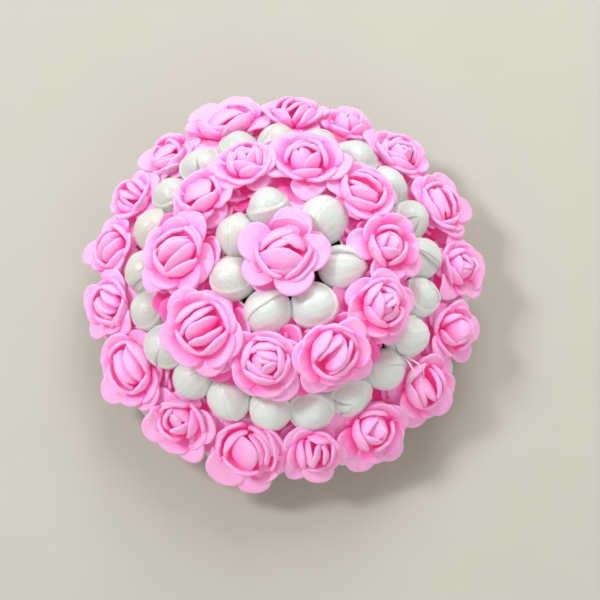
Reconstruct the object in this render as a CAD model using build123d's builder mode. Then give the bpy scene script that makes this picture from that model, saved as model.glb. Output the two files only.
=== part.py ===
"""Domed hair-bun garland: foam roses and satin buds sewn in rings on a black cloth cap."""
from build123d import *
from collections import namedtuple
from functools import cache
from math import acos, asin, cos, degrees, radians, sin, sqrt
import os

os.makedirs("parts", exist_ok=True)

# Cloth cap, in millimetres: a dome that is open below and stands on its hem
cap_radius = 46.0
dome_drop = 7.0
cloth_wall = 1.6
hem_wall = 2.6
hem_height = 4.0

# Satin buds, threaded side by side on rings of thread
bud_width = 11.8
bud_length = 13.2
bud_tip_width = 1.2
bud_seat_gap = 0.3
wrap_step = 0.22
table_gap = 0.5
thread_width = 0.8
thread_play = 0.2

# Foam roses, each on a short stem that is sewn to the cloth
rose_width = 18.4
centre_rose_width = 25.0
petal_wall = 1.25
petal_edge = 0.5
stem_width = 7.2
sewn_gap = 0.25

# Clear space between neighbours
side_gap = 0.1
tuck_gap = 1.3
middle_gap = 2.4
crown_gap = 4.6

# Levels above the cloth that follow from the sizes
bud_level = bud_seat_gap + bud_width / 2
bud_top = bud_seat_gap + bud_width
bud_orbit = cap_radius + bud_level

# One tier of petals in a rose. Reach is the petal tips' distance from the stem, as a share
# of the rose's half width, and long is how much further the tips stand up and down the
# dome, where the neighbours leave room. Floor is the tier's lowest level as a share of the
# buds' top, bowl its radius of curvature as a share of the rose's width, and lobe the
# radius of one petal as a share of its reach.
PetalTier = namedtuple("PetalTier", "count reach long floor bowl lobe turn")

rose_kinds = {
    "half_open": (
        PetalTier(5, 1.00, 1.16, 0.72, 0.80, 0.46, 0),
        PetalTier(5, 0.76, 1.10, 0.82, 0.47, 0.48, 36),
        PetalTier(4, 0.52, 1.00, 1.02, 0.29, 0.52, 10),
        PetalTier(3, 0.29, 1.00, 1.16, 0.16, 0.58, 50),
    ),
    "full": (
        PetalTier(5, 1.00, 1.18, 0.75, 0.95, 0.47, 180),
        PetalTier(5, 0.80, 1.12, 0.84, 0.56, 0.48, 216),
        PetalTier(5, 0.57, 1.00, 0.99, 0.35, 0.46, 0),
        PetalTier(3, 0.33, 1.00, 1.13, 0.19, 0.58, 20),
    ),
    "tight": (
        PetalTier(5, 1.00, 1.14, 0.72, 0.80, 0.47, 20),
        PetalTier(4, 0.72, 1.08, 0.82, 0.43, 0.54, 60),
        PetalTier(3, 0.47, 1.00, 1.02, 0.26, 0.62, 10),
        PetalTier(3, 0.26, 1.00, 1.18, 0.14, 0.60, 70),
    ),
}
core_share = 0.08
core_level = 1.22

# Widths of the roses, as shares of rose_width
rose_sizes = {"small": 0.80, "slim": 0.93, "wide": 1.06, "large": 1.18}

# Roses in the order in which they are sewn round a ring. Flip turns the rose half round.
SewnRose = namedtuple("SewnRose", "size kind flip")

inner_ring = (
    SewnRose("slim", "tight", 0),
    SewnRose("slim", "half_open", 180),
    SewnRose("wide", "full", 0),
    SewnRose("small", "half_open", 0),
    SewnRose("small", "tight", 180),
    SewnRose("large", "half_open", 180),
    SewnRose("large", "full", 0),
    SewnRose("slim", "half_open", 0),
    SewnRose("wide", "tight", 0),
    SewnRose("slim", "full", 180),
)
inner_first = 7.0

outer_ring = (
    SewnRose("wide", "half_open", 0),
    SewnRose("wide", "full", 180),
    SewnRose("wide", "tight", 0),
    SewnRose("small", "half_open", 180),
    SewnRose("slim", "tight", 180),
    SewnRose("large", "full", 0),
    SewnRose("slim", "half_open", 0),
    SewnRose("small", "tight", 0),
    SewnRose("slim", "half_open", 180),
    SewnRose("slim", "full", 180),
    SewnRose("large", "half_open", 0),
    SewnRose("wide", "full", 0),
    SewnRose("large", "half_open", 180),
    SewnRose("small", "tight", 180),
    SewnRose("wide", "full", 180),
    SewnRose("wide", "half_open", 0),
    SewnRose("slim", "tight", 0),
)
outer_first = 4.0

# Shares of the free space after each crown bud, as the garland was sewn by hand
crown_rooms = (16, 5, 4, 9, 6, 9, 13)
crown_first = 48.0
middle_first = 7.0
rim_first = 0.0

# How much more the tips of the rim buds lean down than the others lean up, in degrees
rim_lean = 22

# Each bud leans and turns a little in its own way: the rows repeat round a ring
BudPose = namedtuple("BudPose", "lean sideways spin")

bud_poses = (
    BudPose(34, 8, 0),
    BudPose(20, -18, 75),
    BudPose(30, 16, 200),
    BudPose(12, -6, 310),
    BudPose(26, 22, 140),
)


def on_dome(polar, azimuth, reach, spin=0.0, lean=0.0, sideways=0.0):
    """A place on the dome: polar is the angle from the crown, reach the radius."""
    around = Location((0, 0, -dome_drop), (0, 0, azimuth)) * Location((0, 0, 0), (0, polar, 0))
    tipped = Location((0, 0, reach), (0, 0, 0)) * Location((0, 0, 0), (sideways, lean, 0))
    return around * tipped * Location((0, 0, 0), (0, 0, spin))


def ring_steps(widths, reach, polar):
    """The angle from each neighbour to the next, where they stand side by side."""
    steps = []
    for width, next_width in zip(widths, widths[1:] + widths[:1]):
        apart = asin(width / 2 / reach) + asin(next_width / 2 / reach) + side_gap / reach
        steps.append(2 * degrees(asin(sin(apart / 2) / sin(radians(polar)))))
    return steps


def round_the_ring(widths, reach, polar, first, rooms=None):
    """Azimuths of as many neighbours as the ring holds, the free space shared out."""
    widths = list(widths)
    while sum(ring_steps(widths, reach, polar)) > 360:
        widths.pop()
    steps = ring_steps(widths, reach, polar)
    rooms = (rooms or [1] * len(widths))[: len(widths)]
    free = 360 - sum(steps)
    azimuths = [first]
    for step, room in zip(steps[:-1], rooms[:-1]):
        azimuths.append(azimuths[-1] + step + free * room / sum(rooms))
    return azimuths


def buds_that_fit(polar):
    """How many buds the ring at this polar angle holds."""
    half_step = asin((bud_width + side_gap) / 2 / bud_orbit / sin(radians(polar)))
    return int(180 / degrees(half_step))


def beside_stem(gap):
    """The angle from a ring of rose stems to a ring of buds this far clear of them."""
    return degrees(asin((bud_width / 2 + stem_width / 2 + gap) / bud_orbit))


# Polar angles of the rings: the outer ones are laid from the rim, the inner from the crown
rim_polar = degrees(acos((bud_width / 2 + table_gap + dome_drop) / bud_orbit))
outer_polar = rim_polar - beside_stem(tuck_gap)
middle_polar = outer_polar - beside_stem(middle_gap)
crown_polar = degrees(asin((centre_rose_width / 2 + crown_gap) / bud_orbit))
inner_polar = crown_polar + beside_stem(tuck_gap)


def petal_tier(tier, width):
    """One tier of petals: a thin bowl, thick at its middle, trimmed to round lobes."""
    short = tier.reach * width / 2
    far = short * tier.long
    bowl = tier.bowl * width
    sag = bowl - sqrt(bowl**2 - far**2)
    floor = tier.floor * bud_top
    rise = sag + petal_edge - petal_wall
    inside = (far**2 + rise**2) / (2 * rise)
    inside_angle = degrees(asin(far / inside))
    if rise > inside:
        inside_angle = 180 - inside_angle
    lobe = tier.lobe * short
    with BuildPart() as shell:
        with BuildSketch(Plane.XZ):
            with BuildLine():
                CenterArc((0, floor + bowl), bowl, -90, degrees(asin(far / bowl)))
                Line((far, floor + sag), (far, floor + sag + petal_edge))
                CenterArc((0, floor + petal_wall + inside), inside, -90, inside_angle)
                Line((0, floor + petal_wall), (0, floor))
            make_face()
        revolve(axis=Axis.Z)
        with BuildSketch():
            Circle(short - lobe)
            for number in range(tier.count):
                angle = radians(tier.turn + 360 / tier.count * number)
                out = short + (far - short) * cos(angle) ** 2 - lobe
                with Locations((out * cos(angle), out * sin(angle))):
                    Circle(lobe)
        extrude(amount=2 * bud_top, mode=Mode.INTERSECT)
    return shell.part


@cache
def rose(kind, width):
    """A foam rose: tiers of petals round a core, on a waisted stem with a domed foot."""
    tiers = [petal_tier(tier, width) for tier in rose_kinds[kind]]
    foot = asin(stem_width / 2 / (cap_radius + sewn_gap))
    foot_level = (cap_radius + sewn_gap) * cos(foot) - cap_radius
    waist = 0.36 * stem_width
    with BuildPart() as flower:
        with BuildSketch(Plane.XZ):
            with BuildLine():
                CenterArc((0, -cap_radius), cap_radius + sewn_gap, 90, -degrees(foot))
                Polyline(
                    (stem_width / 2, foot_level),
                    (waist, 0.35 * bud_top),
                    (stem_width / 2, 0.72 * bud_top),
                    (core_share * width, core_level * bud_top),
                    (0, core_level * bud_top),
                    (0, sewn_gap),
                )
            make_face()
        revolve(axis=Axis.Z)
        with Locations((0, 0, core_level * bud_top)):
            Sphere(core_share * width)
        for tier in tiers:
            add(tier)
    return flower.part


def bud():
    """A satin bud: a drop with two overlapping wraps, its tip up."""
    ball = bud_width / 2 - 2 * wrap_step
    apex = bud_length - bud_width / 2
    touch = asin(ball / apex)
    slope = sqrt(apex**2 - ball**2) / ball
    tip_level = apex - bud_tip_width / 2 * slope
    with BuildPart() as shape:
        with BuildSketch(Plane.XZ):
            with BuildLine():
                CenterArc((0, 0), ball, -90, 90 + degrees(touch))
                Line((ball * cos(touch), ball * sin(touch)), (bud_tip_width / 2, tip_level))
                Line((bud_tip_width / 2, tip_level), (0, tip_level))
                Line((0, tip_level), (0, -ball))
            make_face()
        revolve(axis=Axis.Z)
        Sphere(bud_width / 2, arc_size3=165, align=None)
        Sphere(bud_width / 2 - wrap_step, arc_size3=150, rotation=(0, 0, 150), align=None)
    return shape.part


def bud_places(polar, azimuths, down_lean=None):
    """Where the buds of a ring sit, the tips up the dome, or down it by this much more."""
    places = []
    for number, azimuth in enumerate(azimuths):
        pose = bud_poses[number % len(bud_poses)]
        lean = -pose.lean if down_lean is None else pose.lean + down_lean
        places.append(on_dome(polar, azimuth, bud_orbit, pose.spin, lean, pose.sideways))
    return places


def thread_ring(polar):
    """Radius and level of the thread through a ring of buds."""
    return bud_orbit * sin(radians(polar)), bud_orbit * cos(radians(polar)) - dome_drop


def save(part, label):
    """Name a finished piece and write it."""
    part.label = label
    export_step(part, f"parts/{label}.step")


# Cloth cap: the dome's wall, thicker at the turned hem
with BuildPart() as cloth_cap:
    cloth_inside = cap_radius - cloth_wall
    hem_inside = cap_radius - hem_wall
    step_out = sqrt(cloth_inside**2 - (dome_drop + hem_height) ** 2)
    step_in = sqrt(hem_inside**2 - (dome_drop + hem_height) ** 2)
    rim_out = sqrt(cap_radius**2 - dome_drop**2)
    rim_in = sqrt(hem_inside**2 - dome_drop**2)
    with BuildSketch(Plane.XZ):
        with BuildLine():
            rim_angle = degrees(asin(dome_drop / cap_radius))
            step_angle = degrees(asin((dome_drop + hem_height) / cloth_inside))
            hem_start = degrees(asin(dome_drop / hem_inside))
            hem_end = degrees(asin((dome_drop + hem_height) / hem_inside))
            CenterArc((0, -dome_drop), cap_radius, rim_angle, 90 - rim_angle)
            Line((0, cap_radius - dome_drop), (0, cloth_inside - dome_drop))
            CenterArc((0, -dome_drop), cloth_inside, step_angle, 90 - step_angle)
            Line((step_out, hem_height), (step_in, hem_height))
            CenterArc((0, -dome_drop), hem_inside, hem_start, hem_end - hem_start)
            Line((rim_in, 0), (rim_out, 0))
        make_face()
    revolve(axis=Axis.Z)
save(cloth_cap.part, "cloth_cap")

# Centre rose at the crown
crown_rose = rose("full", centre_rose_width)
with BuildPart() as centre_rose:
    with Locations(on_dome(0, 0, cap_radius)):
        add(crown_rose)
save(centre_rose.part, "centre_rose")

# Two rings of roses, each rose on its own node
petal_orbit = cap_radius + bud_top
for ring_name, ring, polar, first in (
    ("inner_rose", inner_ring, inner_polar, inner_first),
    ("outer_rose", outer_ring, outer_polar, outer_first),
):
    widths = [rose_width * rose_sizes[sewn.size] for sewn in ring]
    azimuths = round_the_ring(widths, petal_orbit, polar, first)
    for number, (sewn, width, azimuth) in enumerate(zip(ring, widths, azimuths), start=1):
        ring_rose = rose(sewn.kind, width)
        with BuildPart() as sewn_rose:
            with Locations(on_dome(polar, azimuth, cap_radius, spin=sewn.flip)):
                add(ring_rose)
        save(sewn_rose.part, f"{ring_name}_{number:02d}")

# Crown buds round the centre rose, each drilled for the thread that carries them all
satin_bud = bud()
hole_radius = thread_width / 2 + thread_play
crown_ring, crown_level = thread_ring(crown_polar)
crown_widths = [bud_width] * len(crown_rooms)
crown_azimuths = round_the_ring(crown_widths, bud_orbit, crown_polar, crown_first, crown_rooms)
for number, place in enumerate(bud_places(crown_polar, crown_azimuths), start=1):
    with BuildPart() as crown_bud:
        with Locations(place):
            add(satin_bud)
        with Locations((0, 0, crown_level)):
            Torus(crown_ring, hole_radius, mode=Mode.SUBTRACT)
    save(crown_bud.part, f"crown_bud_{number}")

# Two strings of buds under the petals, the buds just clear of each other
for string_name, polar, first, down_lean in (
    ("middle_bud_string", middle_polar, middle_first, None),
    ("rim_bud_string", rim_polar, rim_first, rim_lean),
):
    ring_radius, ring_level = thread_ring(polar)
    widths = [bud_width] * buds_that_fit(polar)
    azimuths = round_the_ring(widths, bud_orbit, polar, first)
    with BuildPart() as bud_string:
        with Locations(bud_places(polar, azimuths, down_lean)):
            add(satin_bud)
        with Locations((0, 0, ring_level)):
            Torus(ring_radius, hole_radius, mode=Mode.SUBTRACT)
    save(bud_string.part, string_name)

# Thread rings through the buds
for thread_name, polar in (
    ("crown_thread", crown_polar),
    ("middle_thread", middle_polar),
    ("rim_thread", rim_polar),
):
    ring_radius, ring_level = thread_ring(polar)
    with BuildPart() as thread:
        with Locations((0, 0, ring_level)):
            Torus(ring_radius, thread_width / 2)
    save(thread.part, thread_name)
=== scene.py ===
# %% [markdown]
# # A flower garland for a hair bun
#
# The real object is a domed cover that is pinned over a bun of hair. Soft pink foam roses and
# white satin buds are sewn in rings on a black cloth cap, so closely that the cap only shows
# in the gaps. The solid model gives every piece its place. This notebook dresses each piece
# in the shape and finish that one sees.

# %% Load the solid model as a fixed frame
from collections import namedtuple
from math import comb, cos, pi, radians, sin, sqrt

import bmesh
import bpy
import numpy as np
from mathutils import Matrix, Vector


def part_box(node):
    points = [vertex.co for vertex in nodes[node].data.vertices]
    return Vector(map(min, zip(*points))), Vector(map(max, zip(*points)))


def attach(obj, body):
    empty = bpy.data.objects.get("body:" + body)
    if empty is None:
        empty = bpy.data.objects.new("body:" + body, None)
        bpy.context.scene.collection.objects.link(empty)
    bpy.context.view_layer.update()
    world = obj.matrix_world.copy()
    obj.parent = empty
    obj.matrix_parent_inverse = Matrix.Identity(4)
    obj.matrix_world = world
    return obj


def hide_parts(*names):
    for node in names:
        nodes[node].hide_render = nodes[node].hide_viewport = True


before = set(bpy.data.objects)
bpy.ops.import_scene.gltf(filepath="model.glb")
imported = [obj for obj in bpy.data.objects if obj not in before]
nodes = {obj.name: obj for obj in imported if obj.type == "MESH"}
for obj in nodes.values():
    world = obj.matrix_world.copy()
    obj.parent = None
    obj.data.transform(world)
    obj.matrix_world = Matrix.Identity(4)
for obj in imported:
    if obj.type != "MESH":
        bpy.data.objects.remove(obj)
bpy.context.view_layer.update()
MM = 0.001

# %% [markdown]
# ## Where the camera stands
#
# The garland was photographed from almost straight above, a little from the front. A long
# lens from half a metre away keeps the far and the near roses the same size. The camera comes
# first, so that every later piece can be judged from the right place.

# %% Camera
CAMERA_ELEVATION = radians(76)
CAMERA_DISTANCE = 0.5
CAMERA_AIM = Vector((4.6, -0.95, 0.0)) * MM


def add_object(name, data):
    """A new object in the scene."""
    made = bpy.data.objects.new(name, data)
    bpy.context.scene.collection.objects.link(made)
    return made


camera_data = bpy.data.cameras.new("garland_camera")
camera_data.sensor_width = 36
camera_data.lens = 97.8
camera_data.clip_start = 0.01
camera = add_object("garland_camera", camera_data)
camera.location = CAMERA_AIM + CAMERA_DISTANCE * Vector(
    (0, -cos(CAMERA_ELEVATION), sin(CAMERA_ELEVATION))
)
camera.rotation_euler = (pi / 2 - CAMERA_ELEVATION, 0, 0)
bpy.context.scene.camera = camera
print("camera at", [round(x, 3) for x in camera.location])

# %% [markdown]
# ## Where each rose and bud is sewn
#
# Every rose stands on the dome like a pin in a cushion. The foot of its solid touches the
# cloth, so the middle of the foot gives the rose's axis. The picture's upward direction,
# laid on the cloth, gives each rose a local frame in which angles read as they do in the
# photograph. The buds of a string are loose parts of one mesh, so the mesh is split into
# its parts and the middle of each part is kept.

# %% Axes of the roses
DOME_CENTRE = Vector((0, 0, -7)) * MM
ABOVE_CROWN = DOME_CENTRE + Vector((0, 0, 80)) * MM
TO_DOME = Matrix.Translation(DOME_CENTRE) @ Matrix.Scale(MM, 4)
CAP_RADIUS = 46.0
FOOT_HEIGHT = 1


def points_of(node):
    """The vertices of a solid, in millimetres from the dome's centre."""
    flat = np.empty(len(node.data.vertices) * 3)
    node.data.vertices.foreach_get("co", flat)
    return (flat.reshape(-1, 3) - np.array(DOME_CENTRE)) / MM


def sewn_frame(axis):
    """A local frame on the cloth, in millimetres: z outward, y up in the picture."""
    side = Vector((0, 1, 0)).cross(axis).normalized()
    turn = Matrix((side, axis.cross(side), axis)).transposed().to_4x4()
    return TO_DOME @ turn @ Matrix.Translation((0, 0, CAP_RADIUS))


def uphill_angle(axis):
    """The direction towards the crown in a sewn piece's frame, in degrees."""
    crown = sewn_frame(axis).inverted() @ ABOVE_CROWN
    return float(np.degrees(np.arctan2(crown.y, crown.x)))


SewnRose = namedtuple("SewnRose", "name axis reach frame")
sewn_roses = {}
for name in sorted(nodes):
    if "rose" in name:
        points = points_of(nodes[name])
        foot = points[np.linalg.norm(points, axis=1) < CAP_RADIUS + FOOT_HEIGHT]
        axis = Vector(foot.mean(axis=0)).normalized()
        along = points @ np.array(axis)
        reach = np.linalg.norm(points - along[:, None] * np.array(axis), axis=1).max()
        sewn_roses[name] = SewnRose(name, axis, reach, sewn_frame(axis))
print("roses:", len(sewn_roses))

# %% Centres of the buds
SAME_POINT = 0.001 * MM
CROWN_BUD_SHIFT = Vector((0.015, 0, 0.085))


def loose_parts(node):
    """The centre directions of a string's buds."""
    joined = bmesh.new()
    joined.from_mesh(node.data)
    bmesh.ops.remove_doubles(joined, verts=joined.verts, dist=SAME_POINT)
    centres, left = [], set(joined.verts)
    while left:
        part, waiting = [], [left.pop()]
        while waiting:
            vert = waiting.pop()
            part.append(vert.co - DOME_CENTRE)
            found = left.intersection(edge.other_vert(vert) for edge in vert.link_edges)
            left -= found
            waiting.extend(found)
        centres.append(Vector((np.max(part, axis=0) + np.min(part, axis=0)) / 2).normalized())
    joined.free()
    return centres


bud_axes = {}
for name in sorted(nodes):
    if "bud" in name:
        axes = sorted(loose_parts(nodes[name]), key=lambda axis: np.arctan2(axis.y, axis.x))
        if name.startswith("crown"):
            axes = [(axis + CROWN_BUD_SHIFT).normalized() for axis in axes]
        bud_axes[name] = axes
print("buds:", {name: len(axes) for name, axes in bud_axes.items()})

# %% [markdown]
# ## Sheets of foam
#
# A foam petal is a rounded lobe of sheet, about 1.1 mm thick, pressed into a cup over heat.
# Here it is a disc of points in rings. The disc is laid along a curved midline, bent across
# its width, and its edge rolls outward. Then it gets its thickness, with a half round edge.
# Building the points in this way keeps the mesh fine at the edge, where the light catches,
# and coarse in the hidden middle.

# %% The middle surface of a petal
RINGS = np.array([0.0, 0.22, 0.42, 0.6, 0.76, 0.9, 1.0])
SEGMENTS = 32
AROUND = np.linspace(0, 2 * pi, SEGMENTS, endpoint=False)
WIDEST, BEYOND_WIDEST = 0.56, 0.44
FOOT_TAPER = 0.35
OUTLINE_WAVES = ((2, 0.045), (3, 0.035))
SURFACE_WAVES = (3.2, 5.1)
WAVE_HEIGHTS = (0.05, 0.13)
LIP_FROM = 0.4

# The last field is the span along a petal over which painted shade fades from deep pink between
# the petals to pale at the tip.
Petal = namedtuple("Petal", "turn base bend tip half cup lip pale")


def smooth(value):
    """A soft step from 0 to 1."""
    value = np.clip(value, 0, 1)
    return value * value * (3 - 2 * value)


def bent(share, start, middle, end):
    """A value on the curve from start to end that the middle pulls on."""
    return (1 - share) ** 2 * start + 2 * share * (1 - share) * middle + share**2 * end


def heading(share, start, middle, end):
    """How fast that value changes along the curve."""
    return 2 * (1 - share) * (middle - start) + 2 * share * (end - middle)


def petal_middle(petal, reach, dice):
    """A petal's middle surface in its rose's frame, and each point's painted shade tone."""
    ring, around = RINGS[:, None], AROUND[None, :]
    along = np.sin(around)
    uneven = sum(
        (depth * np.sin(times * around + dice.uniform(0, 6)) for times, depth in OUTLINE_WAVES), 1
    )
    share = WIDEST + np.where(along > 0, BEYOND_WIDEST, WIDEST) * along * ring * uneven
    half = petal.half * reach
    taper = 1 - FOOT_TAPER * np.clip(-along, 0, 1) ** 1.4
    across = half * ring * uneven * np.cos(around) * taper
    (r0, z0), (r1, z1), (r2, z2) = petal.base, petal.bend, petal.tip
    radius = reach * bent(share, r0, r1, r2)
    level = bent(share, z0, z1, z2)
    out, rise = reach * heading(share, r0, r1, r2), heading(share, z0, z1, z2)
    slope, chord = np.hypot(out, rise), np.hypot(reach * (r2 - r0), z2 - z0)
    out, rise = out / slope + reach * (r2 - r0) / chord, rise / slope + (z2 - z0) / chord
    size = np.hypot(out, rise)
    curve = (petal.cup[0] + (petal.cup[1] - petal.cup[0]) * share) / half
    sideways = np.sin(curve * across) / curve
    inward = (1 - np.cos(curve * across)) / curve
    rolled = smooth((ring - LIP_FROM) / (1 - LIP_FROM)) * np.clip(0.45 + along, 0, 1)
    inward = inward - petal.lip * rolled
    for length in SURFACE_WAVES:
        course = dice.uniform(0, 6)
        phase = (across * cos(course) + share * 9 * sin(course)) * 2 * pi / length
        inward = inward + dice.uniform(*WAVE_HEIGHTS) * np.sin(phase + dice.uniform(0, 6))
    radius = radius - rise / size * inward
    level = level + out / size * inward
    turn = radians(petal.turn)
    x = radius * cos(turn) - sideways * sin(turn)
    y = radius * sin(turn) + sideways * cos(turn)
    # Painted shade: 0 deep between the petals, rising to 1 towards the tip.
    out_of_shade = smooth((share - petal.pale[0]) / (petal.pale[1] - petal.pale[0]))
    return np.stack((x, y, level), axis=-1), out_of_shade


# %% The thickness of a petal
EDGE_ANGLES = np.radians([90, 45, 0, -45, -90])
UNDER_RINGS = (5, 3, 1)
LOBE_WALL, HEART_WALL = 1.05, 1.15


def unit(vectors):
    """Vectors brought to a length of 1."""
    return vectors / np.maximum(np.linalg.norm(vectors, axis=-1, keepdims=True), 1e-9)


def grid_normals(grid):
    """Unit normals of a petal's middle surface, on its inner side."""
    sideways = np.roll(grid, -1, axis=1) - np.roll(grid, 1, axis=1)
    normals = unit(np.cross(sideways, np.gradient(grid, axis=0)))
    normals[0] = normals[1].mean(axis=0)
    return unit(normals)


def skin(counts, ring=False):
    """Faces over rows of points, from how many are in each row. A ring has no ends."""
    starts = np.cumsum([0, *counts])
    rows = [range(start, end) for start, end in zip(starts, starts[1:])]
    faces = [tuple(row) for row in (rows[0], rows[-1]) if len(row) > 1 and not ring]
    for low, high in zip(rows, rows[1:] + rows[:ring]):
        for k in range(max(counts)):
            corners = ((low, k), (low, k + 1), (high, k + 1), (high, k))
            faces.append(tuple(dict.fromkeys(row[i % len(row)] for row, i in corners)))
    return faces


def thick_petal(grid, share, wall):
    """Points and faces of a petal of foam with a half round edge, and each point's painted shade
    tone.
    """
    normals, half = grid_normals(grid), wall / 2
    rows = [(grid[k] + half * normals[k], share[k]) for k in range(1, len(RINGS) - 1)]
    beyond = unit(grid[-1] - grid[-2])
    for angle in EDGE_ANGLES:
        rim = grid[-1] + half * (cos(angle) * beyond + sin(angle) * normals[-1])
        rows.append((rim, share[-1]))
    rows.extend((grid[k] - half * normals[k], share[k]) for k in UNDER_RINGS)
    top, last = (grid[0, 0] + side * normals[0, 0] for side in (half, -half))
    points = np.concatenate([[top], *(row for row, _ in rows), [last]])
    shade_tone = np.concatenate([share[0, :1], *(shade_tones for _, shade_tones in rows), share[0, :1]])
    return points, skin([1, *(len(row) for row, _ in rows), 1]), shade_tone


print("rows in a petal:", len(RINGS) - 2 + len(EDGE_ANGLES) + len(UNDER_RINGS))

# %% [markdown]
# ## How petals give way
#
# The roses are sewn so closely that they press on each other and lie over the buds. Where
# two roses meet, the petals of one lie over the petals of the other, like shingles, and they
# stop soon after. Petals are also lifted over any bud under them. A bud that stands nearer
# the crown is in front of them instead: there a low petal tucks in behind the bud, and a
# high one folds up.

# %% Where a petal has to stop
SOFT_LENGTH, PRESSED_LIFT = 1.6, 0.3
LEAST_OVERLAP, OVERLAP = 0.4, 2.3
SHINGLE_LIFT, SHINGLE_WIDTH = 0.9, 3.5
HEAD_TOP, HEAD_DEPTH = 15.5, 3
BUD_SOFTNESS, ABOVE_BUD = 0.4, 2


def soft_limit(value, limit):
    """Value, slowed down so that it never passes the limit."""
    over = np.maximum(value - (limit - SOFT_LENGTH), 0)
    return np.where(over > 0, limit - SOFT_LENGTH * np.exp(-over / SOFT_LENGTH), value)


def give_way(grid, walls, balls):
    """A petal's middle surface after it meets the neighbouring roses and the buds."""
    grid = grid.copy()
    for direction, side, share_angle in walls:
        along = grid[..., 0] * direction[0] + grid[..., 1] * direction[1]
        face = (CAP_RADIUS + grid[..., 2]) * np.tan(share_angle)
        low = smooth((HEAD_TOP - grid[..., 2]) / HEAD_DEPTH)
        limit = face + LEAST_OVERLAP + (OVERLAP - LEAST_OVERLAP) * low
        pushed = along - soft_limit(along, limit)
        over = smooth((along - face + SHINGLE_WIDTH) / SHINGLE_WIDTH)
        grid[..., 2] += side * SHINGLE_LIFT * low * over
        grid[..., 0] -= pushed * direction[0]
        grid[..., 1] -= pushed * direction[1]
        grid[..., 2] += PRESSED_LIFT * pushed
    for centre, radius in balls:
        apart = np.hypot(grid[..., 0] - centre[0], grid[..., 1] - centre[1])
        top = centre[2] + np.sqrt(np.maximum(radius**2 - apart**2, 0))
        above = grid[..., 2] - top
        rounded = np.log1p(np.exp(np.clip(above / BUD_SOFTNESS, -30, 30)))
        lifted = top + BUD_SOFTNESS * rounded
        under = (apart < radius) & (above < ABOVE_BUD) & (grid[..., 2] > centre[2])
        grid[..., 2] = np.where(under, np.maximum(lifted, grid[..., 2]), grid[..., 2])
    return grid


# %% The neighbours of a rose
BUD_LEVEL, BUD_RADIUS, HEAD_LEVEL = 6.2, 5.9, 11.5
BUD_ROOM = BUD_RADIUS + LOBE_WALL / 2 + 0.1
NEAR_ROSE, NEAR_BUD = radians(34), radians(26)


def shingle_side(name, other):
    """1 where a rose's petals lie over the other's, and -1 where they lie under them."""
    first, second = sorted((name, other))
    over = sin(7.3 * sum(map(ord, first)) + 3.1 * sum(map(ord, second))) > 0
    return 1 if over == (name == first) else -1


def room_of(rose):
    """The faces that a rose shares with its neighbours, and the buds below and above it."""
    back = rose.frame.inverted()
    walls = []
    for other in sewn_roses.values():
        angle = rose.axis.angle(other.axis)
        if other.name != rose.name and angle < NEAR_ROSE:
            head = back @ (DOME_CENTRE + other.axis * (CAP_RADIUS + HEAD_LEVEL) * MM)
            part = angle * rose.reach / (rose.reach + other.reach)
            walls.append((head.xy.normalized(), shingle_side(rose.name, other.name), part))
    under, before = [], []
    for axis in sum(bud_axes.values(), []):
        if rose.axis.angle(axis) < NEAR_BUD:
            centre = back @ (DOME_CENTRE + axis * (CAP_RADIUS + BUD_LEVEL) * MM)
            side = under if axis.z < rose.axis.z else before
            side.append((centre, BUD_ROOM))
    return walls, under, before


print("roses beside the first outer rose:", len(room_of(sewn_roses["outer_rose_01"])[0]))

# %% [markdown]
# ## How a foam rose opens
#
# All the roses were cut with the same tool, but they were pressed shut by hand, so no two are
# alike. An open rose has cupped petals round a loosely closed heart, and a tight rose has
# more of them. A closed rose has one petal folded over its heart, and a ball rose hides its
# heart under one large petal. A ribbed rose has slim petals that stand side by side. The rose
# at the crown has a form of its own, with a broad petal folded up at the front. Low petals
# near the cloth fill the gaps to the buds, which look deep pink in the photograph.
#
# Every rose begins with a skirt and a ring of lobes. Each table row is one ring of petals:
# their number and first turn, where the midline starts, bends and ends, as a share of the
# rose's reach and a level in millimetres above the cloth, then the half width, how far a
# petal wraps, and how far its lip rolls out.

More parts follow.
